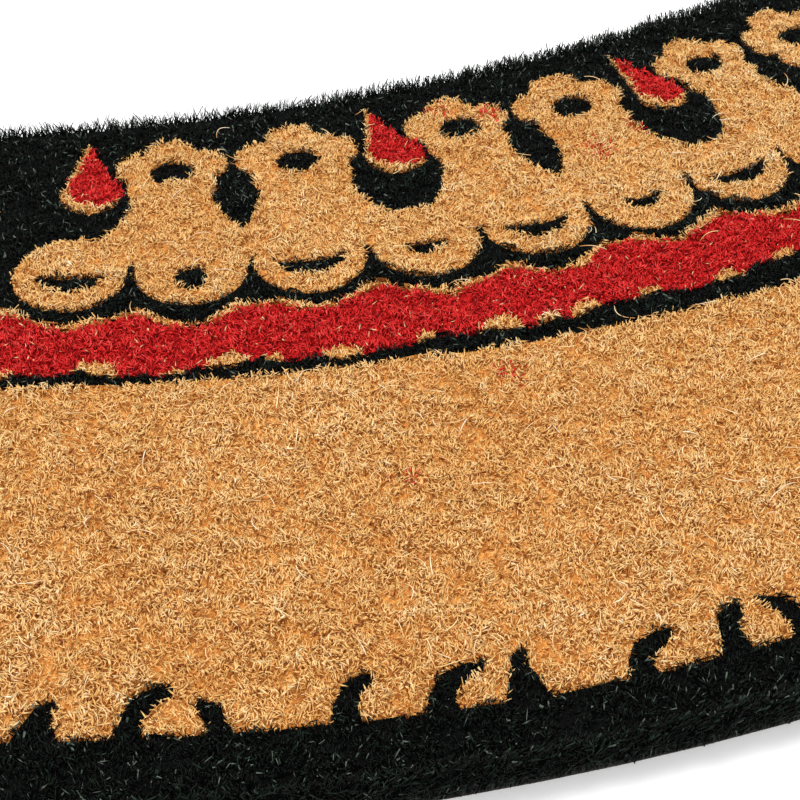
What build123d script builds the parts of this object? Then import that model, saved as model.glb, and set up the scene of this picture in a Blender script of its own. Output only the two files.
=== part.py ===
"""Door mat: dyed coconut-fibre pile on a flexible sheet backing, bent into a shallow smile.

The near edge and the design follow circles about one point behind the mat; the far edge is a
flatter arc, so that the mat narrows towards its ends. It lies on the floor with the middle of
its underside at the origin, its long way along X and its near edge towards -Y. Millimetres,
+Z up. The pile stands on the backing as blocks of one dye each, side by side.
"""
from build123d import *
from math import cos, pi, radians, sin, sqrt
import os

# overall size
near_edge_radius = 790.0
far_edge_radius = 484.0
far_end_radius = 498.0
half_span = 29.3
corner_radius = 30.0
backing_thickness = 3.0
pile_height = 14.0

# rings of the design, as distances from the common centre
garland_top_radius = 496.0
spine_inner_radius = 561.0
spine_outer_radius = 577.0
foot_line = 580.0
ribbon_inner_radius = 606.0
ribbon_outer_radius = 632.0
field_inner_radius = 641.0
field_outer_radius = 772.0
field_overlap = 20.0
design_half_span = 27.1
ribbon_half_span = 26.3

# the garland: pairs of five-petalled blossoms on wide skirts, above a row of round feet
pair_span = 11.85
pair_count = 4
blossom_offset = 2.5
blossom_reaches = (20.5, 23.0)
blossom_skirt = 31.0
petal_count = 5
petal_share = 0.45
eyelet_size = (7.8, 6.3)
foot_size = 19.0
foot_step = pair_span / 3
feet_each_side = 6

# openings in the feet, half width and depth
wide_crescent = (12.0, 9.0)
small_crescent = (8.0, 6.5)
round_hole = 5.5
crescent_line = 580.0

# teardrops between the pairs and past the last of them
drop_count = pair_count + 1
wide_drop = 11.0
small_drop = 9.5
drop_bottom_ring = 536.0
drop_tip_ring = 493.0
drop_shift = 0.4
drop_edge = 3.0

# the ribbon's waves and its undyed edging
ribbon_points = 81
fringe_width = 2.6
notch_size = 5.2
notch_step = 1.9

# the field's slow swings, far side and near side
far_swing = 5.0
near_swing = 3.0

# the tufts that the near border sends into the field: half width, height and lean
tuft_step = 1.95
tuft_shapes = ((5.0, 15.0, 9.0), (5.5, 14.5, 14.0), (7.5, 17.0, 4.0), (5.0, 13.5, 13.0),
               (6.0, 16.0, 8.0), (5.5, 15.5, -8.0), (8.0, 12.5, 5.0), (4.5, 16.0, 12.0), (4.0, 11.0, -6.0))
tuft_stray = 0.12
tuft_tip = 5.2
tuft_root = 4.0

# the far edge's own centre lies further behind; its corners are rounded where it meets the sides
span = radians(half_span)
far_set_back = ((far_end_radius**2 - far_edge_radius**2)
                / (2 * (far_edge_radius - far_end_radius * cos(span))))
corner_reach = far_edge_radius + far_set_back + corner_radius
corner_along = (sqrt(corner_reach**2 - (far_set_back * sin(span) + corner_radius)**2)
                - far_set_back * cos(span))

# the corner's highest point and the near edge's lowest put the origin in the middle
far_reach = corner_along * cos(span) + corner_radius * sin(span) - corner_radius
centre_y = (near_edge_radius + far_reach) / 2


def spot(radius, degrees):
    """The point on a ring, at an angle from the middle line, positive towards +X."""
    angle = radians(degrees)
    return (radius * sin(angle), centre_y - radius * cos(angle))


def local_plane(radius, degrees):
    """A drawing plane on a ring: its Y points at the common centre."""
    x, y = spot(radius, degrees)
    return Plane(origin=(x, y, 0), x_dir=(cos(radians(degrees)), sin(radians(degrees)), 0))


def sector(inner, outer, half_angle):
    with BuildSketch() as area:
        with BuildLine():
            inside = ThreePointArc(spot(inner, -half_angle), spot(inner, 0), spot(inner, half_angle))
            outside = ThreePointArc(spot(outer, -half_angle), spot(outer, 0), spot(outer, half_angle))
            Line(inside @ 0, outside @ 0)
            Line(inside @ 1, outside @ 1)
        make_face()
    return area.sketch


def wavy_ring(radius_at, half_angle):
    """Points along a ring whose radius follows a formula."""
    step = 2 * half_angle / (ribbon_points - 1)
    angles = [-half_angle + step * index for index in range(ribbon_points)]
    return [spot(radius_at(angle), angle) for angle in angles]


def wavy_band(inner_at, outer_at, half_angle):
    with BuildSketch() as area:
        with BuildLine():
            inside = Spline(*wavy_ring(inner_at, half_angle))
            outside = Spline(*wavy_ring(outer_at, half_angle))
            Line(inside @ 0, outside @ 0)
            Line(inside @ 1, outside @ 1)
        make_face()
    return area.sketch


def mat_outline():
    with BuildSketch() as area:
        with BuildLine():
            far = ThreePointArc(spot(far_end_radius, -half_span), spot(far_edge_radius, 0),
                                spot(far_end_radius, half_span))
            near = ThreePointArc(spot(near_edge_radius, -half_span), spot(near_edge_radius, 0),
                                 spot(near_edge_radius, half_span))
            Line(far @ 0, near @ 0)
            Line(far @ 1, near @ 1)
        make_face()
        fillet(area.vertices(), radius=corner_radius)
    return area.sketch


def far_gap(angle):
    """How far the far edge has drawn in at an angle, which the tops of the garland follow."""
    return (far_end_radius - far_edge_radius) * (angle / half_span)**2


def pair_angles():
    first = -pair_span * (pair_count - 1) / 2
    return [first + pair_span * index for index in range(pair_count)]


def blossoms():
    """Angle and reach of every blossom, from left to right: a small and a large one by turns."""
    return [(middle + side * blossom_offset, reach)
            for middle in pair_angles() for side, reach in zip((-1, 1), blossom_reaches)]


def feet():
    return [(index, foot_step * index) for index in range(-feet_each_side, feet_each_side + 1)]


def blossom_shape(angle, reach):
    """Round petals about a middle, on a skirt that widens down to the spine."""
    middle_ring = garland_top_radius + far_gap(angle) + reach
    depth = spine_inner_radius + 4 - middle_ring
    petal_size = reach * petal_share
    waist = reach * 0.68
    hip = waist * 1.25
    with BuildSketch(local_plane(middle_ring, angle)) as area:
        Circle(reach - petal_size)
        with PolarLocations(reach - petal_size, petal_count, start_angle=90):
            Circle(petal_size)
        with BuildLine():
            right = ThreePointArc((waist, -reach * 0.3), (hip, -depth * 0.65), (blossom_skirt, -depth))
            left = ThreePointArc((-waist, -reach * 0.3), (-hip, -depth * 0.65), (-blossom_skirt, -depth))
            Line(right @ 0, left @ 0)
            Line(right @ 1, left @ 1)
        make_face()
    return area.sketch


def garland_outline():
    """The whole undyed shape before its openings are cut."""
    with BuildSketch() as area:
        add(sector(spine_inner_radius, spine_outer_radius, foot_step * feet_each_side))
        for angle, reach in blossoms():
            add(blossom_shape(angle, reach))
        for _, angle in feet():
            with Locations(spot(foot_line, angle)):
                Circle(foot_size)
    return area.sketch


def eyelets():
    """The blossoms' dark middles."""
    with BuildSketch() as area:
        for angle, reach in blossoms():
            ring = garland_top_radius + far_gap(angle) + reach
            with Locations(Location((*spot(ring, angle), 0), (0, 0, angle))):
                Ellipse(*eyelet_size)
    return area.sketch


def crescent(angle, half_width, depth):
    """A smile: a nearly straight upper edge over a round lower one."""
    with BuildSketch(local_plane(crescent_line, angle)) as area:
        with BuildLine():
            ThreePointArc((-half_width, 0), (0, -depth * 0.2), (half_width, 0))
            ThreePointArc((-half_width, 0), (0, -depth), (half_width, 0))
        make_face()
    return area.sketch


def foot_openings():
    """Wide and small smiles by turns; every third pair has a round hole for its small one."""
    with BuildSketch() as area:
        for index, angle in feet():
            if index % 2 == 0:
                add(crescent(angle, *wide_crescent))
            elif index % 6 == 1:
                with Locations(spot(crescent_line + round_hole, angle)):
                    Circle(round_hole)
            else:
                add(crescent(angle, *small_crescent))
    return area.sketch


def drop_outline(index):
    """A teardrop with its point towards the far edge; the middle one is small."""
    middle = index - (drop_count - 1) / 2
    angle = pair_span * middle
    half_width = small_drop if middle == 0 else wide_drop
    ring = drop_bottom_ring + far_gap(angle) - half_width
    tip = (-half_width * 0.3, drop_bottom_ring - half_width - drop_tip_ring)
    with BuildSketch(local_plane(ring, angle + drop_shift)) as area:
        Circle(half_width)
        with BuildLine():
            Polyline((-half_width * 0.98, 0), tip, (half_width * 0.98, 0), close=True)
        make_face()
    return area.sketch


def drop_dyed(drop, angle):
    """The dyed part of a teardrop: the outline pushed up and right, leaving an undyed rim."""
    shift = drop_edge * 1.3
    x_dir = Vector(cos(radians(angle)), sin(radians(angle)))
    y_dir = Vector(-sin(radians(angle)), cos(radians(angle)))
    return common(drop, drop.moved(Location(x_dir * (shift * 0.6) + y_dir * shift)))


def teardrops():
    """All teardrops, and the dyed parts of them."""
    with BuildSketch() as whole:
        for index in range(drop_count):
            add(drop_outline(index))
    with BuildSketch() as dyed:
        for index in range(drop_count):
            add(drop_dyed(drop_outline(index), pair_span * (index - (drop_count - 1) / 2)))
    return whole.sketch, dyed.sketch


def ribbon_inner_at(angle):
    turn = 2 * pi * angle / foot_step
    return ribbon_inner_radius + 3.6 * cos(turn) + 1.5 * sin(turn * 0.37 + 1) + 0.8 * sin(turn * 2.6)


def ribbon_outer_at(angle):
    turn = 2 * pi * angle / foot_step
    return ribbon_outer_radius + 1.5 * sin(turn * 0.71) + 0.9 * sin(turn * 2.3 + 1)


def fringe_inner_at(angle):
    turn = 2 * pi * angle / foot_step
    return ribbon_inner_at(angle) - fringe_width - 1.1 * sin(turn * 1.7 + 2)


def notches():
    """Round bites along the ribbon's lower edge that were left undyed."""
    with BuildSketch() as area:
        count = int(ribbon_half_span / notch_step)
        for index in range(-count, count + 1):
            angle = notch_step * (index + 0.3 * sin(5.0 * index))
            size = notch_size * (1 + 0.35 * sin(3.0 * index))
            with Locations(spot(ribbon_outer_at(angle) + 0.6, angle)):
                Circle(size)
    return area.sketch


def field_inner_at(angle):
    return field_inner_radius + far_swing * sin(radians(angle * 5 + 40))


def field_outer_at(angle):
    return field_outer_radius + near_swing * cos(radians(angle * 12 + 140))


def tuft(angle, half_width, height, lean):
    """A stroke that rises from the border and hooks over to the side that it leans to."""
    side = 1 if lean > 0 else -1
    reach = abs(lean)
    neck = half_width * 0.45
    corners = ((-half_width, -tuft_root), (-neck, height * 0.4), (reach * 0.25 - 1.5, height * 0.85),
               (reach * 0.7, height), (reach, height * 0.97), (reach * 0.93, height * 0.97 - tuft_tip * 0.7),
               (reach * 0.45 + 1.5, height * 0.85 - tuft_tip * 0.8), (neck + 1.5, height * 0.25),
               (half_width, -tuft_root))
    with BuildSketch(local_plane(field_outer_at(angle), angle)) as area:
        with BuildLine():
            Polyline(*[(side * across, up) for across, up in corners], close=True)
        make_face()
    return area.sketch


def tufts():
    with BuildSketch() as area:
        count = int(design_half_span / tuft_step) - 1
        for index in range(-count, count + 1):
            half_width, height, lean = tuft_shapes[index % len(tuft_shapes)]
            add(tuft(tuft_step * (index + tuft_stray * sin(2.0 * index)), half_width, height, lean))
    return area.sketch


def raise_pile(area, name):
    """Stand one dyed area on the backing as a block of pile and write it out."""
    with BuildPart() as pile:
        with BuildSketch(Plane.XY.offset(backing_thickness)):
            add(area)
        extrude(amount=pile_height)
    pile.part.label = name
    export_step(pile.part, f"parts/{name}.step")
    print(name, len(pile.part.solids()), "solids", round(pile.part.volume / 1000, 1), "cm3")


def difference(area, *others):
    with BuildSketch() as left:
        add(area)
        for other in others:
            add(other, mode=Mode.SUBTRACT)
    return left.sketch


def common(area, other):
    with BuildSketch() as shared:
        add(area)
        add(other, mode=Mode.INTERSECT)
    return shared.sketch


def backing_sheet(outline):
    with BuildPart() as backing:
        with BuildSketch():
            add(outline)
        extrude(amount=backing_thickness)
    backing.part.label = "backing_sheet"
    export_step(backing.part, "parts/backing_sheet.step")


def main():
    os.makedirs("parts", exist_ok=True)
    outline = mat_outline()
    backing_sheet(outline)

    garland = garland_outline()
    holes = eyelets()
    smiles = foot_openings()
    raise_pile(difference(garland, holes, smiles), "garland_pile")
    raise_pile(holes, "eyelet_piles")
    raise_pile(smiles, "crescent_piles")

    drops, dyed = teardrops()
    raise_pile(difference(dyed, garland), "teardrop_piles")
    raise_pile(difference(drops, dyed, garland), "teardrop_rim_piles")

    ribbon = wavy_band(ribbon_inner_at, ribbon_outer_at, ribbon_half_span)
    bites = common(ribbon, notches())
    fringe = difference(wavy_band(fringe_inner_at, ribbon_inner_at, ribbon_half_span), garland)
    raise_pile(difference(ribbon, bites, garland), "ribbon_pile")
    raise_pile(bites, "ribbon_notch_piles")
    raise_pile(fringe, "ribbon_fringe_pile")

    strokes = tufts()
    field = difference(wavy_band(field_inner_at, field_outer_at, design_half_span), strokes)
    raise_pile(field, "field_pile")

    design = sector(far_edge_radius - 1, field_inner_radius + field_overlap, design_half_span)
    ground = difference(common(design, outline), garland, drops, ribbon, fringe, field)
    raise_pile(ground, "ground_pile")

    rest = difference(outline, design, field)
    raise_pile(rest, "border_pile")


main()
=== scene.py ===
import math

import bpy
import numpy as np
from bpy.props import FloatProperty, FloatVectorProperty, IntProperty
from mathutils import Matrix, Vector


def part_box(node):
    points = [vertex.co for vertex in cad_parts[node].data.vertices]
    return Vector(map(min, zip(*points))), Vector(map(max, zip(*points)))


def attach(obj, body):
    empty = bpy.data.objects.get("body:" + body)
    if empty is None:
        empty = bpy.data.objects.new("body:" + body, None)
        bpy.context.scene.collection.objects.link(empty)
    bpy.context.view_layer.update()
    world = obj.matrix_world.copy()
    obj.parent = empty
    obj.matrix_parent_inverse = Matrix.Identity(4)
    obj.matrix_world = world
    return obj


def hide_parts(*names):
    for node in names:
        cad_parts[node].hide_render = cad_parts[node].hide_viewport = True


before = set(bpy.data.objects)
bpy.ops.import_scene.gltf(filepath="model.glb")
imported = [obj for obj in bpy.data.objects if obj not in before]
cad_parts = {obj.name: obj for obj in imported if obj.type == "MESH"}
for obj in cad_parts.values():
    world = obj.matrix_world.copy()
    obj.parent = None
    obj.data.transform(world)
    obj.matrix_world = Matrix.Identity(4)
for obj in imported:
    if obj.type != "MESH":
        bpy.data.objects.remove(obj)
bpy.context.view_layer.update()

bl_info = {
    "name": "Coir door mat",
    "version": (1, 0, 0),
    "blender": (4, 5, 0),
    "location": "View3D > Sidebar > Door mat",
    "description": "Builds a coconut-fibre door mat, fibre by fibre, on its packed frame",
    "category": "Object",
}

MM = 0.001
UV_NAME = "OFBake"
BACKING = "backing_sheet"
NATURAL_NODES = ["field_pile", "garland_pile", "ribbon_fringe_pile", "ribbon_notch_piles",
                 "teardrop_rim_piles"]
RED_NODES = ["ribbon_pile", "teardrop_piles"]
BLACK_NODES = ["ground_pile", "border_pile", "eyelet_piles", "crescent_piles"]
NATURAL, RED, BLACK, OUTSIDE = 0, 1, 2, 3
DYE_NAMES = ("natural", "red", "black")
UNDYED_PIECES, CRIMSON_PIECES, BLACK_PIECES = 6, 2, 3      # keeps each piece under 200,000 triangles

# the one point about which the bands of the design are drawn, beyond the hollow far edge
BAND_CENTRE_Y = 615.97 * MM
# crimson fibres that strayed into the undyed pile: radius, angle from the middle in degrees, reach
STAINS = ((654 * MM, -11.2, 4 * MM), (691 * MM, -14.8, 3 * MM), (549 * MM, -3.9, 5 * MM),
          (540 * MM, -1.6, 4 * MM), (513 * MM, -6.8, 5 * MM), (505 * MM, -8.7, 4 * MM),
          (712 * MM, 8.5, 4 * MM), (668 * MM, 15.0, 3 * MM))

DYE_WANDER = 0.35 * MM          # how far a dye strays over its edge
RIM_WIDTH = 4.6 * MM            # strip along the mat's edge where fibres spread outwards
TIP_SINK = 0.9 * MM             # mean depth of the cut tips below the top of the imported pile
LOCK_RISE = 1.35 * MM           # how far a proud lock stands above the mean
TIP_LIMIT = 2.9 * MM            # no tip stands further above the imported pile
FOOT_SHARE = 0.35               # along a rim fibre, the point that stands over its place
CELL_WIDTH = 0.0257 * MM        # width of one cell of the husk
BENT_STOUTNESS = 1.25           # a bent fibre's width beside a straight one's
RUSSET_HOLLOWS = 0.38           # how much deeper in shade the undyed pile is in its hollows
HANGING_SHARE = 0.3             # share of the wall fibres that hang over the backing's edge
HANGS_FROM = (3.0 * MM, 8.0 * MM)       # heights at which those fibres are rooted
HANGING_STOPS = (0.9, 1.6)      # mm above the floor, where they end
WALL_LENGTH = (4.5, 10.0)       # mm
STRAY_LENGTH = (4.0, 9.5)       # mm
STRAY_WIDTH = (0.2, 0.34)       # mm
STRAY_SHARE_ON_DYE = 0.07       # loose strands are seldom on a dyed area

CAMERA_PLACE = (-0.3384, -0.3631, 0.3617)
CAMERA_TURN = 27.0              # degrees right of +Y
CAMERA_TILT = 42.0              # degrees down
CAMERA_FOCAL = 76.5             # mm, on a sensor 36 mm wide
KEY_PLACE, KEY_SIZE, KEY_POWER = (-0.1, 0.35, 1.6), 0.9, 21.0
FILL_PLACE, FILL_SIZE, FILL_POWER = (-0.9, -1.0, 1.1), 1.2, 14.0
SKY_STRENGTH = 0.72


# ------------------------------------------------------------------ sizes and colours

def linear(hex_colour):
    """An sRGB hex colour as linear RGBA."""
    channels = [int(hex_colour[i:i + 2], 16) / 255 for i in (1, 3, 5)]
    return [c / 12.92 if c <= 0.04045 else ((c + 0.055) / 1.055) ** 2.4 for c in channels] + [1.0]


def dye_colour(name, description, hex_colour):
    """A colour property that starts from an sRGB hex value."""
    return FloatVectorProperty(name=name, description=description, size=4, subtype="COLOR", min=0, max=1,
                               default=linear(hex_colour))


class MatSizes(bpy.types.PropertyGroup):
    """Sizes that a user would change, in metres unless they say otherwise."""
    fibre_gap: FloatProperty(name="Fibre gap", description="Mean distance between fibre tips",
                             default=0.755 * MM, subtype="DISTANCE", unit="LENGTH")
    fibre_width: FloatProperty(name="Fibre width", description="Thickness of one coir fibre",
                               default=0.39 * MM, subtype="DISTANCE", unit="LENGTH")
    fibre_length: FloatProperty(name="Fibre length", description="Length of a fibre above the dense pile",
                                default=3.6 * MM, subtype="DISTANCE", unit="LENGTH")
    tip_depth: FloatProperty(name="Tip depth", description="How far the dense pile lies below the tips",
                             default=2.6 * MM, subtype="DISTANCE", unit="LENGTH")
    clump: FloatProperty(name="Clump", description="Width of a lock of fibres that lean together",
                         default=4.0 * MM, subtype="DISTANCE", unit="LENGTH")
    bent_share: FloatProperty(name="Bent share", description="Share of the fibres that are bent",
                              default=0.46, min=0.0, max=1.0, subtype="FACTOR")
    loose_count: IntProperty(name="Loose fibres", description="Long loose fibres lying on the pile",
                             default=620, min=0)
    wall_count: IntProperty(name="Wall fibres", default=42000, min=0,
                            description="Fibres that flare out or hang down along the sides")
    seed: IntProperty(name="Seed", description="Seed of every random draw", default=7)


class MatColours(bpy.types.PropertyGroup):
    """The commonest shade of each dye, round which its rarer strands are deeper or paler, and the floor."""
    undyed: dye_colour("Undyed", "Commonest shade of the undyed husk", "#ecbc73")
    crimson: dye_colour("Crimson", "Commonest shade of the crimson dye", "#d32423")
    black: dye_colour("Black", "Commonest shade of the black dye", "#030a05")
    floor: dye_colour("Floor", "Plain pale floor", "#fbfbfb")


def sizes():
    return bpy.context.scene.mat_sizes


def colours():
    return bpy.context.scene.mat_colours


def add_node(tree, kind, settings=None, **links):
    """Adds a node, sets its properties, and fills its inputs with values or other nodes' outputs. An input is
    named by its own name, with _ for a space, or by i and its number. Among the settings, stops are the
    (place, colour) pairs of a colour ramp."""
    node = tree.nodes.new(kind)
    settings = dict(settings or {})
    stops = settings.pop("stops", ())
    while len(stops) > 2 and len(node.color_ramp.elements) < len(stops):
        node.color_ramp.elements.new(0.5)
    for index, (place, colour) in enumerate(stops):
        node.color_ramp.elements[index].position = place
        node.color_ramp.elements[index].color = linear(colour) if isinstance(colour, str) else colour
    for name, value in settings.items():
        setattr(node, name, value)
    for name, value in links.items():
        by_number = name[0] == "i" and name[1:].isdigit()
        socket = node.inputs[int(name[1:]) if by_number else name.replace("_", " ")]
        if isinstance(value, bpy.types.NodeSocket):
            tree.links.new(value, socket)
        else:
            socket.default_value = value
    return node


def new_material(name, **values):
    """A material, its node tree and its shader, with the shader's own sockets set."""
    material = bpy.data.materials.new(name)
    material.use_nodes = True
    shader = material.node_tree.nodes["Principled BSDF"]
    for socket, value in values.items():
        shader.inputs[socket.replace("_", " ")].default_value = value
    return material, material.node_tree, shader


# ------------------------------------------------------------------ materials

# Shade runs across the map's U: 0 is the deepest fibre of the dye, 1 the palest. V runs along
# the fibre, 0 at its foot and 1 at its cut tip. The commonest shade comes from the panel and is
# put among the rarer ones at its own place.
UNDYED_PLACE, CRIMSON_PLACE, BLACK_PLACE = 0.5, 0.45, 0.6
UNDYED_SHADES = ((0.0, "#843d19"), (0.12, "#b67134"), (0.3, "#dfa75a"), (0.7, "#f3cc8c"),
                 (0.86, "#f5ddad"), (0.95, "#f5eacd"), (1.0, "#f5f0e3"))
CRIMSON_SHADES = ((0.0, "#6c0404"), (0.2, "#ab0d0d"), (0.7, "#e43834"), (0.88, "#e8564f"),
                  (0.96, "#df9a6c"), (1.0, "#eac894"))
# the palest black stops are painted glints, for strands that catch the light
BLACK_SHADES = ((0.0, "#000000"), (0.35, "#000100"), (0.8, "#101d13"), (0.9, "#222f26"),
                (0.96, "#3c483f"), (0.99, "#626b61"), (1.0, "#b8a078"))


def coir_material(name, place_of_commonest, commonest, rarer, foot, roughness, gloss):
    """Coconut fibre: a round, slightly waxy strand. Each has its own shade, is painted darker at its foot, a
    painted shade where it goes into the pile, and has a faint mottle as fine as the husk's cells, which
    softens its shade."""
    shades = sorted([*rarer, (place_of_commonest, tuple(commonest))], key=lambda stop: stop[0])
    material, tree, shader = new_material(name, Roughness=roughness, Specular_IOR_Level=gloss)
    place = add_node(tree, "ShaderNodeUVMap", {"uv_map": UV_NAME}).outputs["UV"]
    parts = add_node(tree, "ShaderNodeSeparateXYZ", None, Vector=place)
    shade = add_node(tree, "ShaderNodeValToRGB", {"stops": shades}, Fac=parts.outputs["X"])
    cells_per_fibre = float(round(sizes().fibre_length / CELL_WIDTH))
    mottle = add_node(tree, "ShaderNodeTexNoise", {"noise_dimensions": "2D"}, Vector=place,
                      Scale=cells_per_fibre, Detail=2.0)
    strength = add_node(tree, "ShaderNodeMapRange", None, Value=mottle.outputs["Fac"],
                        i1=0.3, i2=0.7, i3=0.9, i4=1.1)
    toned = add_node(tree, "ShaderNodeHueSaturation", None, Color=shade.outputs["Color"], Saturation=1.0,
                     Value=strength.outputs["Result"])
    # painted shade: each fibre is multiplied by its foot colour at its foot, fading out three quarters of the
    # way to its tip
    depth = add_node(tree, "ShaderNodeMapRange", {"interpolation_type": "SMOOTHSTEP"},
                     Value=parts.outputs["Y"], i1=0.0, i2=0.75, i3=1.0, i4=0.0)
    with_painted_foot_shade = add_node(tree, "ShaderNodeMix", {"data_type": "RGBA", "blend_type": "MULTIPLY"},
                     i0=depth.outputs["Result"], i6=toned.outputs["Color"], i7=linear(foot))
    tree.links.new(with_painted_foot_shade.outputs[2], shader.inputs["Base Color"])
    return material


def bed_material(name, deep, middle, pale):
    """The dense pile below the tips: packed fibres seen end on and in shadow, as a speckle about one fibre
    wide with darker hollows between the locks."""
    material, tree, shader = new_material(name, Roughness=0.9, Specular_IOR_Level=0.1)
    place = add_node(tree, "ShaderNodeTexCoord").outputs["Object"]
    speckle_per_metre = 1 / (0.9 * MM)
    lock_per_metre = 1 / (5.0 * MM)
    speckle = add_node(tree, "ShaderNodeTexVoronoi", None, Vector=place, Scale=speckle_per_metre)
    locks = add_node(tree, "ShaderNodeTexNoise", None, Vector=place, Scale=lock_per_metre, Detail=3.0)
    height = add_node(tree, "ShaderNodeMath", {"operation": "MULTIPLY"},
                      i0=speckle.outputs["Color"], i1=locks.outputs["Fac"])
    colour = add_node(tree, "ShaderNodeValToRGB", {"stops": ((0.05, deep), (0.3, middle), (0.7, pale))},
                      Fac=height.outputs["Value"])
    tree.links.new(colour.outputs["Color"], shader.inputs["Base Color"])
    bump = add_node(tree, "ShaderNodeBump", None, Strength=0.6, Distance=0.6 * MM,
                    Height=speckle.outputs["Distance"])
    tree.links.new(bump.outputs["Normal"], shader.inputs["Normal"])
    return material


def pvc_material():
    """Plasticised PVC sheet, cast on to the fibres' feet: matt black, with a fine cast grain and a brown
    tinge low on its cut edge, where fibre dust is bedded in it."""
    material, tree, shader = new_material("pvc_cast_sheet", Specular_IOR_Level=0.35)
    place = add_node(tree, "ShaderNodeTexCoord").outputs["Object"]
    grain_per_metre = 1 / (0.8 * MM)
    grain = add_node(tree, "ShaderNodeTexNoise", None, Vector=place, Scale=grain_per_metre, Detail=4.0)
    parts = add_node(tree, "ShaderNodeSeparateXYZ", None, Vector=place)
    low = add_node(tree, "ShaderNodeMapRange", None, Value=parts.outputs["Z"],
                   i1=0.2 * MM, i2=0.9 * MM, i3=1.0, i4=0.0)
    dust = add_node(tree, "ShaderNodeMath", {"operation": "MULTIPLY"}, i0=low.outputs["Result"],
                    i1=grain.outputs["Fac"])
    stops = ((0.0, "#060807"), (0.35, "#17100c"), (0.8, "#3a2618"))
    colour = add_node(tree, "ShaderNodeValToRGB", {"stops": stops}, Fac=dust.outputs["Value"])
    tree.links.new(colour.outputs["Color"], shader.inputs["Base Color"])
    rough = add_node(tree, "ShaderNodeMapRange", None, Value=grain.outputs["Fac"], i3=0.45, i4=0.75)
    tree.links.new(rough.outputs["Result"], shader.inputs["Roughness"])
    bump = add_node(tree, "ShaderNodeBump", None, Strength=0.4, Distance=0.2 * MM,
                    Height=grain.outputs["Fac"])
    tree.links.new(bump.outputs["Normal"], shader.inputs["Normal"])
    return material


def floor_material():
    """Matt white paper: plain, with next to no gloss, so that only a soft shadow shows on it."""
    return new_material("matt_paper", Base_Color=tuple(colours().floor), Roughness=0.9,
                        Specular_IOR_Level=0.2)[0]


# ------------------------------------------------------------------ the dye plan

class DyePlan:
    """Which dye stands where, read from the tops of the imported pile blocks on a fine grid."""
    step = 0.4 * MM
    margin = 12 * MM
    rim_reach = 9 * MM
    smoothing = 24          # passes that round the outline, so that the way out turns gently

    def __init__(self):
        low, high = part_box(BACKING)
        self.low = (low[0] - self.margin, low[1] - self.margin)
        self.columns = int((high[0] - low[0] + 2 * self.margin) / self.step) + 1
        self.rows = int((high[1] - low[1] + 2 * self.margin) / self.step) + 1
        self.dye = np.full((self.rows, self.columns), OUTSIDE, np.int8)
        for dye, names in enumerate((NATURAL_NODES, RED_NODES, BLACK_NODES)):
            for name in names:
                self._paint(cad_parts[name].data, dye)
        self._close_seams()
        self._measure_rim()

    def _paint(self, mesh, dye):
        """Marks the cells under the top triangles of one block."""
        points = np.empty(len(mesh.vertices) * 3)
        mesh.vertices.foreach_get("co", points)
        points = points.reshape(-1, 3)
        mesh.calc_loop_triangles()
        corners = np.empty(len(mesh.loop_triangles) * 3, np.int64)
        mesh.loop_triangles.foreach_get("vertices", corners)
        triangles = points[corners.reshape(-1, 3)]
        top = triangles[triangles[:, :, 2].min(axis=1) > points[:, 2].max() - 0.5 * MM]
        for flat in (top[:, :, :2] - self.low) / self.step:
            first = np.floor(flat.min(axis=0)).astype(int)
            last = np.ceil(flat.max(axis=0)).astype(int) + 1
            x, y = np.meshgrid(np.arange(first[0], last[0]), np.arange(first[1], last[1]))
            inside = np.ones(x.shape, bool)
            a, b, c = flat
            turn = np.sign((b[0] - a[0]) * (c[1] - a[1]) - (b[1] - a[1]) * (c[0] - a[0]))
            for p, q in ((a, b), (b, c), (c, a)):
                inside &= turn * ((q[0] - p[0]) * (y - p[1]) - (q[1] - p[1]) * (x - p[0])) >= -1e-9
            self.dye[y[inside], x[inside]] = dye

    def _close_seams(self):
        """Cells missed along a seam between two blocks take the dye beside them."""
        for _ in range(3):
            beside = np.zeros(self.dye.shape, int)
            near = self.dye.copy()
            for axis, shift in ((0, 1), (0, -1), (1, 1), (1, -1)):
                moved = np.roll(self.dye, shift, axis)
                beside += moved != OUTSIDE
                near = np.where(near == OUTSIDE, moved, near)
            gap = (self.dye == OUTSIDE) & (beside >= 3)
            self.dye[gap] = near[gap]

    def _measure_rim(self):
        """Distance in from the mat's edge, up to a limit, and the way out."""
        inside = self.dye != OUTSIDE
        self.rim = np.zeros(inside.shape, np.float32)
        core = inside.copy()
        for _ in range(int(self.rim_reach / self.step)):
            self.rim += core * self.step
            smaller = core.copy()
            smaller[1:] &= core[:-1]
            smaller[:-1] &= core[1:]
            smaller[:, 1:] &= core[:, :-1]
            smaller[:, :-1] &= core[:, 1:]
            core = smaller
        soft = inside.astype(np.float32)
        for _ in range(self.smoothing):
            soft[1:-1, 1:-1] = (soft[1:-1, 1:-1] * 2 + soft[:-2, 1:-1] + soft[2:, 1:-1]
                                + soft[1:-1, :-2] + soft[1:-1, 2:]) / 6
        slope_y, slope_x = np.gradient(soft)
        size = np.hypot(slope_x, slope_y) + 1e-9
        self.out_x, self.out_y = -slope_x / size, -slope_y / size

    def cell(self, xy):
        """Row and column of the cell nearest to each place."""
        column = np.clip(((xy[:, 0] - self.low[0]) / self.step + 0.5).astype(int), 0, self.columns - 1)
        row = np.clip(((xy[:, 1] - self.low[1]) / self.step + 0.5).astype(int), 0, self.rows - 1)
        return row, column


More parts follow.
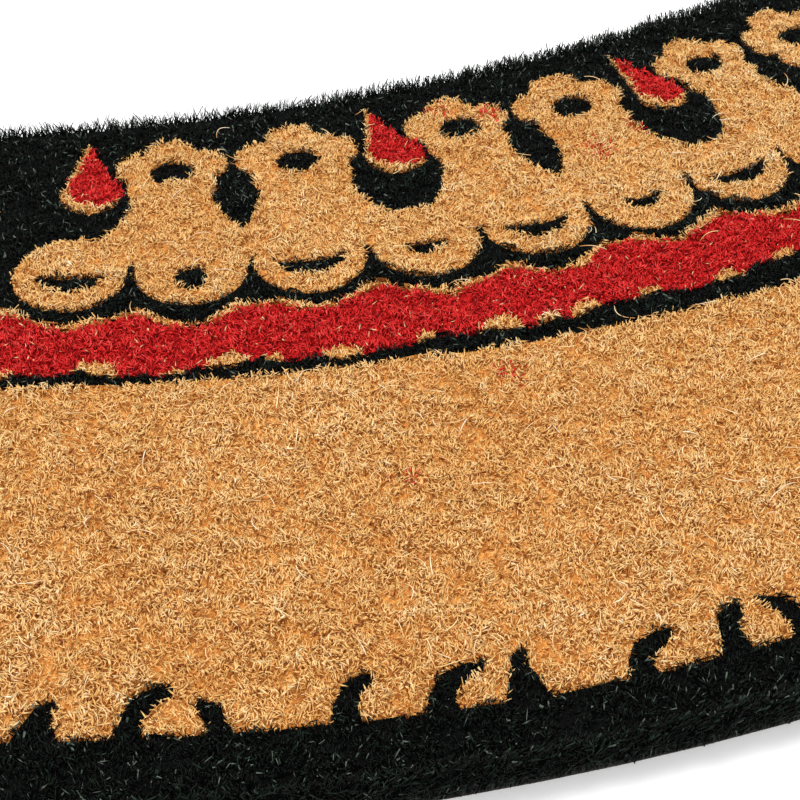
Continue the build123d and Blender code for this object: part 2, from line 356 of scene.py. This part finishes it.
def smooth_noise(xy, width, seed):
    """Smooth random values from -1 to 1 over the plane, with features of a given width."""
    draw = np.random.default_rng(seed)
    low = xy.min(axis=0)
    count = ((xy.max(axis=0) - low) / width).astype(int) + 3
    values = draw.uniform(-1, 1, (count[1], count[0]))
    place = (xy - low) / width
    cell = place.astype(int)
    part = place - cell
    part = part * part * (3 - 2 * part)
    x, y = cell.T
    below = values[y, x] * (1 - part[:, 0]) + values[y, x + 1] * part[:, 0]
    above = values[y + 1, x] * (1 - part[:, 0]) + values[y + 1, x + 1] * part[:, 0]
    return below * (1 - part[:, 1]) + above * part[:, 1]


# ------------------------------------------------------------------ fibre patterns and stamping

def start_pattern(name):
    """Names the primitive just added, gives it its place in its mesh, and leaves it alone selected."""
    bpy.ops.object.select_all(action="DESELECT")
    piece = bpy.context.object
    piece.name = name
    piece.data.name = name
    piece.select_set(True)
    bpy.ops.object.transform_apply(location=True, rotation=True, scale=True)
    return piece


def select_where(piece, test):
    """Selects in edit mode the vertices whose place passes the test."""
    bpy.ops.object.mode_set(mode="EDIT")
    bpy.ops.mesh.select_mode(type="VERT")
    bpy.ops.mesh.select_all(action="DESELECT")
    bpy.ops.object.mode_set(mode="OBJECT")
    for vertex in piece.data.vertices:
        vertex.select = bool(test(vertex.co))
    bpy.ops.object.mode_set(mode="EDIT")


def take_pattern(piece):
    """The finished pattern's points and faces, after which the pattern itself is removed."""
    bpy.ops.object.mode_set(mode="OBJECT")
    points = np.array([vertex.co[:] for vertex in piece.data.vertices])
    faces = np.array([face.vertices[:] for face in piece.data.polygons])
    mesh = piece.data
    bpy.data.objects.remove(piece)
    bpy.data.meshes.remove(mesh)
    return points, faces


def straight_pattern():
    """A cut bristle of unit length and width: blunt at both ends, turned a quarter along its way, so that it
    shows its width from every side with only four faces."""
    bpy.ops.mesh.primitive_cone_add(vertices=3, radius1=0.5, radius2=0, depth=1, location=(0, 0, 0.5))
    piece = start_pattern("bristle_pattern")
    apex = max(piece.data.vertices, key=lambda v: v.co.z)
    base = sorted((v for v in piece.data.vertices if v != apex), key=lambda v: v.co.y)
    target = {base[0].index: (-0.5, 0, 0), base[1].index: (0.5, 0, 0), base[2].index: (0, 0.5, 1),
              apex.index: (0, -0.5, 1)}
    for index, place in target.items():
        here = piece.data.vertices[index].co.copy()
        select_where(piece, lambda co, here=here: (co - here).length < 1e-6)
        bpy.ops.transform.translate(value=Vector(place) - here)
        bpy.ops.object.mode_set(mode="OBJECT")
    bpy.ops.object.mode_set(mode="EDIT")
    bpy.ops.mesh.select_all(action="SELECT")
    bpy.ops.mesh.normals_make_consistent(inside=False)
    return take_pattern(piece)


def bent_pattern():
    """A bristle with a knee: a spindle whose waist is pushed to one side."""
    bpy.ops.mesh.primitive_cone_add(vertices=3, radius1=0.5, radius2=0, depth=0.45, location=(0, 0, 0.775))
    piece = start_pattern("knee_pattern")
    select_where(piece, lambda co: co.z < 0.6)
    bpy.ops.mesh.delete(type="ONLY_FACE")
    select_where(piece, lambda co: co.z < 0.6)
    bpy.ops.mesh.extrude_region_move(TRANSFORM_OT_translate={"value": (0, 0, -0.55)})
    bpy.ops.mesh.merge(type="CENTER")
    select_where(piece, lambda co: 0.4 < co.z < 0.7)
    bpy.ops.transform.translate(value=(0.16, 0, 0))
    bpy.ops.mesh.select_all(action="SELECT")
    bpy.ops.mesh.quads_convert_to_tris()
    bpy.ops.mesh.normals_make_consistent(inside=False)
    return take_pattern(piece)


def loose_pattern(segments=9):
    """A long stray fibre: a three-sided tube of unit length, straight here and bent as it is laid."""
    bpy.ops.mesh.primitive_cone_add(vertices=3, radius1=0.5, radius2=0.5, depth=1 / segments,
                                    location=(0, 0, 0.5 / segments), end_fill_type="TRIFAN")
    piece = start_pattern("stray_pattern")
    for index in range(1, segments):
        select_where(piece, lambda co, top=index / segments: co.z > top - 1e-4)
        bpy.ops.mesh.extrude_region_move(TRANSFORM_OT_translate={"value": (0, 0, 1 / segments)})
    bpy.ops.mesh.select_all(action="SELECT")
    bpy.ops.mesh.quads_convert_to_tris()
    bpy.ops.mesh.normals_make_consistent(inside=False)
    return take_pattern(piece)


def stamp(pattern, root, along, across, length, width, bow=None):
    """Copies of a pattern, one per fibre: feet at root, Z along, X across, and bowed towards bow."""
    points, faces = pattern
    third = np.cross(along, across)
    up = points[:, 2]
    placed = (root[:, None] + along[:, None] * (length[:, None] * up)[:, :, None]
              + across[:, None] * (width[:, None] * points[:, 0])[:, :, None]
              + third[:, None] * (width[:, None] * points[:, 1])[:, :, None])
    if bow is not None:
        placed += bow[:, None] * (4 * up * (1 - up))[None, :, None]
    every = faces[None] + (np.arange(len(root)) * len(points))[:, None, None]
    return placed.reshape(-1, 3), every.reshape(-1, 3)


def pattern_map(pattern, shade):
    """Map places for stamped copies: U is the shade, spread a little over the fibre's width, and V runs from
    its foot to its tip."""
    points, faces = pattern
    u = np.clip(shade[:, None], 0.004, 0.99) + (points[:, 0] + points[:, 1])[None] * 0.006
    v = np.broadcast_to(np.clip(points[:, 2], 0.01, 0.99)[None], u.shape)
    corner = faces.reshape(-1)
    return np.stack([u[:, corner], v[:, corner]], axis=-1).reshape(-1, 2)


def build_piece(name, parts, material):
    """One mesh object from stamped parts: (points, faces, map places)."""
    points = np.concatenate([part[0] for part in parts])
    offsets = np.cumsum([0] + [len(part[0]) for part in parts[:-1]])
    faces = np.concatenate([part[1] + offset for part, offset in zip(parts, offsets)])
    places = np.concatenate([part[2] for part in parts])
    mesh = bpy.data.meshes.new(name)
    mesh.vertices.add(len(points))
    mesh.vertices.foreach_set("co", points.astype(np.float32).ravel())
    mesh.loops.add(len(faces) * 3)
    mesh.loops.foreach_set("vertex_index", faces.astype(np.int32).ravel())
    mesh.polygons.add(len(faces))
    mesh.polygons.foreach_set("loop_start", np.arange(0, len(faces) * 3, 3, dtype=np.int32))
    mesh.polygons.foreach_set("use_smooth", np.ones(len(faces), bool))
    layer = mesh.uv_layers.new(name=UV_NAME)
    layer.uv.foreach_set("vector", places.astype(np.float32).ravel())
    mesh.materials.append(material)
    mesh.update(calc_edges=True)
    piece = bpy.data.objects.new(name, mesh)
    bpy.context.scene.collection.objects.link(piece)
    return piece


def finish_piece(piece, slot_name, *nodes):
    """Puts a piece on the mat's one body, in place of the CAD nodes it stands for."""
    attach(piece, "root")
    if nodes:
        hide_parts(*nodes)
    return piece


# ------------------------------------------------------------------ fibres on the top

class Fibres:
    """Every fibre that stands on the mat's top, drawn once and then handed out by dye and place."""

    def __init__(self, plan):
        s = sizes()
        draw = np.random.default_rng(s.seed)
        low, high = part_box(BACKING)
        gap = s.fibre_gap
        columns, rows = int((high[0] - low[0]) / gap) + 2, int((high[1] - low[1]) / gap) + 2
        x, y = np.meshgrid(np.arange(columns) * gap + low[0], np.arange(rows) * gap + low[1])
        xy = np.column_stack([x.ravel(), y.ravel()]) + draw.uniform(-0.62, 0.62, (columns * rows, 2)) * gap
        row, column = plan.cell(xy)
        kept = plan.dye[row, column] != OUTSIDE
        xy, row, column = xy[kept], row[kept], column[kept]
        count = len(xy)
        self.xy = xy
        self.rim = plan.rim[row, column]
        out = np.column_stack([plan.out_x[row, column], plan.out_y[row, column]])

        # a dye wanders a little across its edge, as fibres lean over it
        wander = xy + draw.normal(0, DYE_WANDER, (count, 2))
        dye = plan.dye[plan.cell(wander)]
        self.dye = np.where(dye == OUTSIDE, plan.dye[row, column], dye)
        for ring, angle, reach in STAINS:
            middle = np.array([ring * math.sin(math.radians(angle)),
                               BAND_CENTRE_Y - ring * math.cos(math.radians(angle))])
            near = np.exp(-((xy - middle) ** 2).sum(axis=1) / reach ** 2)
            self.dye[(self.dye == NATURAL) & (draw.random(count) < 0.5 * near)] = RED

        # locks of fibres lean together and stand higher or lower than their neighbours: turn is the way a
        # fibre leans, lean how far it does, from nearly upright to nearly flat
        turn = math.pi * (smooth_noise(xy, s.clump * 0.6, s.seed + 1) * 1.6
                          + smooth_noise(xy, s.clump * 2.6, s.seed + 2))
        turn += draw.normal(0, 1.25, count)
        lean = draw.uniform(0.15, 1.4, count)
        self.lock = (smooth_noise(xy, s.clump, s.seed + 3) * 0.7
                     + smooth_noise(xy, s.clump * 0.5, s.seed + 4) * 0.6
                     + smooth_noise(xy, s.clump * 3, s.seed + 5) * 0.2)
        along = np.column_stack([np.sin(lean) * np.cos(turn), np.sin(lean) * np.sin(turn), np.cos(lean)])
        # near the rim the pile has no neighbour on one side and spreads outwards
        edge = np.clip(1 - self.rim / RIM_WIDTH, 0, 1)
        along[:, :2] += out * (edge * draw.uniform(0.1, 1.0, count))[:, None]
        along[:, 2] += edge * draw.uniform(0.0, 0.9, count)
        self.along = along / np.linalg.norm(along, axis=1)[:, None]
        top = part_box("field_pile")[1][2]
        self.length = s.fibre_length * np.clip(draw.normal(1.0, 0.22, count), 0.45, 1.6)
        tip = top - TIP_SINK + self.lock * LOCK_RISE + draw.normal(0, 0.35 * MM, count)
        tip += edge * (draw.normal(0.5, 0.7, count) + 2.1 * self.lock) * MM
        tip = np.minimum(tip, top + TIP_LIMIT)
        # a fibre stands over its place by its middle, and near the rim by a point nearer its foot
        reach = self.along * self.length[:, None]
        self.root = np.column_stack([xy, tip]) - reach
        self.root[:, :2] += reach[:, :2] * 0.5
        self.root[:, :2] = np.where(edge[:, None] > 0, xy - reach[:, :2] * FOOT_SHARE, self.root[:, :2])
        self.width = s.fibre_width * np.clip(draw.lognormal(0, 0.28, count), 0.5, 1.9)
        self.bent = draw.random(count) < s.bent_share
        self.chance = draw.random(count)
        spin = draw.uniform(0, 2 * math.pi, count)
        side = np.cross(self.along, [0.0, 0.0, 1.0]) + 1e-6
        side /= np.linalg.norm(side, axis=1)[:, None]
        self.across = side * np.cos(spin)[:, None] + np.cross(self.along, side) * np.sin(spin)[:, None]


def natural_shade(fibres, chosen):
    """Undyed husk runs from brown to straw, deeper in sparse hollows; locks that stand proud are painted
    paler and low ones painted darker, a painted light and shade.
    """
    chance = fibres.chance[chosen]
    broad = smooth_noise(fibres.xy, 38 * MM, 71)[chosen]
    patch = smooth_noise(fibres.xy, 11 * MM, 72)[chosen]
    shade = 0.5 + 0.3 * (chance - 0.5) * 2 * np.abs(chance - 0.5) ** 0.3
    # painted light and shade: the lock term paints proud locks paler and low ones darker
    shade += 0.16 * fibres.lock[chosen] + 0.045 * broad + 0.06 * patch
    hollow = np.clip(smooth_noise(fibres.xy, 2.2 * MM, 73)[chosen] * 3 - 1.8, 0, 1)
    shade -= RUSSET_HOLLOWS * hollow
    return np.clip(shade, 0, 1)


def red_shade(fibres, chosen):
    """Crimson takes evenly; a few strands took little dye. Locks that stand proud are painted paler and low
    ones painted darker, a painted light and shade.
    """
    chance = fibres.chance[chosen]
    # painted light and shade: the lock term paints proud locks paler and low ones darker
    return np.clip(0.5 + 0.62 * (chance - 0.5) + 0.12 * fibres.lock[chosen]
                   + np.where(chance > 0.985, 0.35, 0), 0, 1)


def black_shade(fibres, chosen):
    """Black, with one strand in twenty painted lighter as a painted glint, and locks that stand proud painted
    paler, low ones darker, a painted light and shade.
    """
    chance = fibres.chance[chosen]
    # the lock term is painted light and shade, and the lift for one strand in twenty is a painted glint
    return np.clip(0.43 + 0.86 * (chance - 0.5) + 0.14 * fibres.lock[chosen]
                   + np.where(chance > 0.95, 0.16, 0), 0, 0.985)


def fibre_parts(fibres, chosen, shade, straight, bent):
    """Stamped parts for the chosen fibres, bent ones apart from straight ones."""
    parts = []
    for pattern, is_bent in ((straight, False), (bent, True)):
        share = fibres.bent[chosen] == is_bent
        index = chosen[share]
        if len(index):
            width = fibres.width[index] * (BENT_STOUTNESS if is_bent else 1.0)
            points, faces = stamp(pattern, fibres.root[index], fibres.along[index], fibres.across[index],
                                  fibres.length[index], width)
            parts.append((points, faces, pattern_map(pattern, shade[share])))
    return parts


STATE = {}


def shared():
    """The dye plan, the fibres, their patterns and the coir materials, worked out once and kept."""
    if not STATE:
        STATE["plan"] = DyePlan()
        STATE["straight"] = straight_pattern()
        STATE["bent"] = bent_pattern()
        STATE["loose"] = loose_pattern()
        STATE["fibres"] = Fibres(STATE["plan"])
        # each foot colour is a painted shade, multiplied in where a fibre goes down into the pile
        STATE["natural"] = coir_material("coir_undyed", UNDYED_PLACE, colours().undyed, UNDYED_SHADES,
                                         foot="#d8a878", roughness=0.6, gloss=0.3)
        STATE["red"] = coir_material("coir_dyed_crimson", CRIMSON_PLACE, colours().crimson, CRIMSON_SHADES,
                                     foot="#b04040", roughness=0.65, gloss=0.12)
        STATE["black"] = coir_material("coir_dyed_black", BLACK_PLACE, colours().black, BLACK_SHADES,
                                       foot="#808080", roughness=0.5, gloss=0.12)
    return STATE


def stand_fibres(name, dye, count, shade_of):
    """The fibres of one dye, from left to right in a number of pieces of like size."""
    state = shared()
    fibres = state["fibres"]
    chosen = np.flatnonzero(fibres.dye == dye)
    order = chosen[np.argsort(fibres.xy[chosen, 0], kind="stable")]
    for index, share in enumerate(np.array_split(order, count)):
        parts = fibre_parts(fibres, share, shade_of(fibres, share), state["straight"], state["bent"])
        piece = build_piece(f"{name}_{index + 1}", parts, state[DYE_NAMES[dye]])
        finish_piece(piece, f"coir_{DYE_NAMES[dye]}")


def wall_parts(state):
    """Fibres down the sides: most rise and flare outwards, and some hang over the edge of the backing."""
    plan, pattern = state["plan"], state["straight"]
    draw = np.random.default_rng(sizes().seed + 40)
    cells = np.argwhere((plan.rim > 0) & (plan.rim < 1.5 * plan.step))
    row, column = cells[draw.integers(0, len(cells), sizes().wall_count)].T
    count = len(row)
    out = np.column_stack([plan.out_x[row, column], plan.out_y[row, column]])
    aside = np.column_stack([-out[:, 1], out[:, 0]])
    xy = np.column_stack([column, row]) * plan.step + plan.low
    xy += aside * draw.uniform(-0.3, 0.3, (count, 1)) * MM
    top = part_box("border_pile")[1][2]
    hangs = draw.random(count) < HANGING_SHARE
    rises_from = top - 3.6 * MM - (top - 4.8 * MM) * draw.random(count) ** 1.5
    foot = np.where(hangs, draw.uniform(*HANGS_FROM, count), rises_from)
    across = draw.normal(0, 0.5, count)
    outwards = np.where(hangs, draw.uniform(0.0, 0.16, count), draw.uniform(0.02, 0.66, count))
    along = np.column_stack([out * outwards[:, None] + aside * across[:, None], np.where(hangs, -1.0, 1.0)])
    along /= np.linalg.norm(along, axis=1)[:, None]
    side = np.cross(along, np.column_stack([out, np.zeros(count)]))
    side /= np.linalg.norm(side, axis=1)[:, None]
    # locks along the rim reach higher or lower, and a hanging fibre stops above the floor
    lock = smooth_noise(xy, 3.2 * MM, sizes().seed + 41)
    lock += 0.6 * smooth_noise(xy, 1.5 * MM, sizes().seed + 42)
    stop = draw.uniform(*HANGING_STOPS, count) * MM
    room = np.where(hangs, foot - stop, top + (1.3 + 1.5 * lock) * MM - foot)
    longest = np.maximum(room, 1.5 * MM) / np.abs(along[:, 2])
    length = np.minimum(draw.uniform(*WALL_LENGTH, count) * MM, longest)
    width = sizes().fibre_width * draw.lognormal(0.0, 0.28, count)
    root = np.column_stack([xy + out * 0.15 * MM, foot])
    points, faces = stamp(pattern, root, along, side, length, width)
    # painted sheen: the wall fibres are drawn paler than the black on the top, and one in twenty-five paler
    # still as a painted glint
    shade = 0.54 + 0.8 * (draw.random(count) - 0.5)
    shade = np.clip(shade + np.where(draw.random(count) > 0.96, 0.3, 0), 0, 0.985)
    return [(points, faces, pattern_map(pattern, shade))]


def loose_parts(state):
    """Long pale strands that came loose and lie curved on the pile."""
    fibres, pattern = state["fibres"], state["loose"]
    draw = np.random.default_rng(sizes().seed + 60)
    weight = np.where(fibres.dye == NATURAL, 1.0, STRAY_SHARE_ON_DYE) * (fibres.rim > 6 * MM)
    chosen = draw.choice(len(weight), sizes().loose_count, replace=False, p=weight / weight.sum())
    count = len(chosen)
    turn = draw.uniform(0, 2 * math.pi, count)
    rise = draw.normal(0.02, 0.10, count)
    along = np.column_stack([np.cos(turn), np.sin(turn), rise])
    along /= np.linalg.norm(along, axis=1)[:, None]
    across = np.cross(along, [0.0, 0.0, 1.0])
    across /= np.linalg.norm(across, axis=1)[:, None]
    length = draw.uniform(*STRAY_LENGTH, count) * MM
    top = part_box("field_pile")[1][2]
    root = np.column_stack([fibres.xy[chosen], top + draw.uniform(-1.0, 0.1, count) * MM])
    root -= along * (length * 0.5)[:, None]
    bow = across * (length * draw.uniform(-0.32, 0.32, count))[:, None]
    bow[:, 2] += draw.uniform(0.0, 0.12, count) * length
    width = draw.uniform(*STRAY_WIDTH, count) * MM
    points, faces = stamp(pattern, root, along, across, length, width, bow)
    shade = draw.uniform(0.7, 0.95, count)
    return [(points, faces, pattern_map(pattern, shade))]


# ------------------------------------------------------------------ blocks, lamps and camera

def copy_node(node, name):
    """A CAD node's mesh as a new object, with its loose triangles joined."""
    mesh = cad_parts[node].data.copy()
    piece = bpy.data.objects.new(name, mesh)
    bpy.context.scene.collection.objects.link(piece)
    bpy.ops.object.select_all(action="DESELECT")
    bpy.context.view_layer.objects.active = piece
    piece.select_set(True)
    bpy.ops.object.mode_set(mode="EDIT")
    bpy.ops.mesh.select_all(action="SELECT")
    bpy.ops.mesh.remove_doubles(threshold=0.002 * MM)
    bpy.ops.mesh.dissolve_limited(angle_limit=math.radians(0.5))
    bpy.ops.object.mode_set(mode="OBJECT")
    return piece


def add_lamp(name, place, size, power):
    """A square soft light that faces the middle of the mat."""
    data = bpy.data.lights.new(name, "AREA")
    data.size = size
    data.energy = power
    lamp = bpy.data.objects.new(name, data)
    lamp.location = place
    lamp.rotation_euler = (-Vector(place)).to_track_quat("-Z", "Y").to_euler()
    bpy.context.scene.collection.objects.link(lamp)


def add_camera():
    """A short telephoto over the left half of the mat, looking down along its near edge."""
    data = bpy.data.cameras.new("camera")
    data.lens = CAMERA_FOCAL
    data.sensor_width = 36
    data.clip_start = 0.01
    camera = bpy.data.objects.new("camera", data)
    camera.location = CAMERA_PLACE
    camera.rotation_euler = (math.radians(90 - CAMERA_TILT), 0, -math.radians(CAMERA_TURN))
    bpy.context.scene.collection.objects.link(camera)
    bpy.context.scene.camera = camera


# ------------------------------------------------------------------ operators

class MAT_OT_backing(bpy.types.Operator):
    """Cast PVC sheet under the pile"""
    bl_idname = "door_mat.backing"
    bl_label = "Backing sheet"

    def execute(self, context):
        piece = copy_node(BACKING, "pvc_backing")
        piece.data.materials.clear()
        piece.data.materials.append(pvc_material())
        finish_piece(piece, "pvc_backing", BACKING)
        return {"FINISHED"}


class MAT_OT_pile_beds(bpy.types.Operator):
    """Dense pile below the tips, one bed for each dye"""
    bl_idname = "door_mat.pile_beds"
    bl_label = "Dense pile"

    def execute(self, context):
        beds = (("natural", NATURAL_NODES, ("#7c4418", "#c07c38", "#e4a85c")),
                ("red", RED_NODES, ("#480304", "#8a080a", "#b81014")),
                ("black", BLACK_NODES, ("#000000", "#010201", "#030504")))
        for dye, nodes, shades in beds:
            copies = [copy_node(node, f"{dye}_{node}") for node in nodes]
            bpy.ops.object.select_all(action="DESELECT")
            for piece in copies:
                piece.select_set(True)
            bpy.context.view_layer.objects.active = copies[0]
            bpy.ops.object.join()
            bed = bpy.context.object
            bed.name = bed.data.name = f"{dye}_pile_bed"
            top = max(vertex.co.z for vertex in bed.data.vertices)
            select_where(bed, lambda co: co.z > top - 0.5 * MM)
            bpy.ops.transform.translate(value=(0, 0, -sizes().tip_depth))
            bpy.ops.object.mode_set(mode="OBJECT")
            bed.data.materials.clear()
            bed.data.materials.append(bed_material(f"coir_packed_{dye}", *shades))
            finish_piece(bed, f"coir_{dye}", *nodes)
        return {"FINISHED"}


class MAT_OT_natural_fibres(bpy.types.Operator):
    """Undyed coir fibres of the field, the garland and the edgings"""
    bl_idname = "door_mat.natural_fibres"
    bl_label = "Undyed fibres"

    def execute(self, context):
        stand_fibres("undyed_fibres", NATURAL, UNDYED_PIECES, natural_shade)
        return {"FINISHED"}


class MAT_OT_red_fibres(bpy.types.Operator):
    """Crimson fibres of the ribbon and the teardrops"""
    bl_idname = "door_mat.red_fibres"
    bl_label = "Crimson fibres"

    def execute(self, context):
        stand_fibres("crimson_fibres", RED, CRIMSON_PIECES, red_shade)
        return {"FINISHED"}


class MAT_OT_black_fibres(bpy.types.Operator):
    """Black fibres of the ground, the border and the openings"""
    bl_idname = "door_mat.black_fibres"
    bl_label = "Black fibres"

    def execute(self, context):
        stand_fibres("black_fibres", BLACK, BLACK_PIECES, black_shade)
        return {"FINISHED"}


class MAT_OT_wall_fibres(bpy.types.Operator):
    """Black fibres that flare out along the sides"""
    bl_idname = "door_mat.wall_fibres"
    bl_label = "Wall fibres"

    def execute(self, context):
        state = shared()
        finish_piece(build_piece("wall_fibres", wall_parts(state), state["black"]), "coir_black")
        return {"FINISHED"}


class MAT_OT_loose_fibres(bpy.types.Operator):
    """Long pale fibres lying loose on the pile"""
    bl_idname = "door_mat.loose_fibres"
    bl_label = "Loose fibres"

    def execute(self, context):
        state = shared()
        finish_piece(build_piece("loose_fibres", loose_parts(state), state["natural"]), "coir_natural")
        return {"FINISHED"}


class MAT_OT_stage(bpy.types.Operator):
    """Plain pale floor, soft light and the camera"""
    bl_idname = "door_mat.stage"
    bl_label = "Stage"

    def execute(self, context):
        bpy.ops.object.select_all(action="DESELECT")
        bpy.ops.mesh.primitive_plane_add(size=12, location=(0, 0, 0))
        floor = context.object
        floor.name = "floor"
        floor.data.materials.append(floor_material())
        world = bpy.data.worlds.new("soft_white")
        world.use_nodes = True
        sky = world.node_tree.nodes["Background"]
        sky.inputs["Color"].default_value = (1, 1, 1, 1)
        sky.inputs["Strength"].default_value = SKY_STRENGTH
        context.scene.world = world
        add_lamp("key_softbox", KEY_PLACE, KEY_SIZE, KEY_POWER)
        add_lamp("fill_softbox", FILL_PLACE, FILL_SIZE, FILL_POWER)
        context.scene.view_settings.view_transform = "Standard"
        add_camera()
        return {"FINISHED"}


class MAT_PT_panel(bpy.types.Panel):
    """Sizes and the steps of the mat"""
    bl_idname = "MAT_PT_panel"
    bl_label = "Door mat"
    bl_space_type = "VIEW_3D"
    bl_region_type = "UI"
    bl_category = "Door mat"

    def draw(self, context):
        for group in (context.scene.mat_sizes, context.scene.mat_colours):
            for name in group.__annotations__:
                self.layout.prop(group, name)
        for step in STEPS:
            self.layout.operator(step.bl_idname)


STEPS = (MAT_OT_stage, MAT_OT_backing, MAT_OT_pile_beds, MAT_OT_natural_fibres, MAT_OT_red_fibres,
         MAT_OT_black_fibres, MAT_OT_wall_fibres, MAT_OT_loose_fibres)
CLASSES = (MatSizes, MatColours, *STEPS, MAT_PT_panel)


def register():
    for each in CLASSES:
        bpy.utils.register_class(each)
    bpy.types.Scene.mat_sizes = bpy.props.PointerProperty(type=MatSizes)
    bpy.types.Scene.mat_colours = bpy.props.PointerProperty(type=MatColours)


def unregister():
    del bpy.types.Scene.mat_sizes
    del bpy.types.Scene.mat_colours
    for each in reversed(CLASSES):
        bpy.utils.unregister_class(each)


def main():
    register()
    bpy.ops.door_mat.stage()
    bpy.ops.door_mat.backing()
    bpy.ops.door_mat.pile_beds()
    bpy.ops.door_mat.natural_fibres()
    bpy.ops.door_mat.red_fibres()
    bpy.ops.door_mat.black_fibres()
    bpy.ops.door_mat.wall_fibres()
    bpy.ops.door_mat.loose_fibres()


if __name__ == "__main__":
    main()
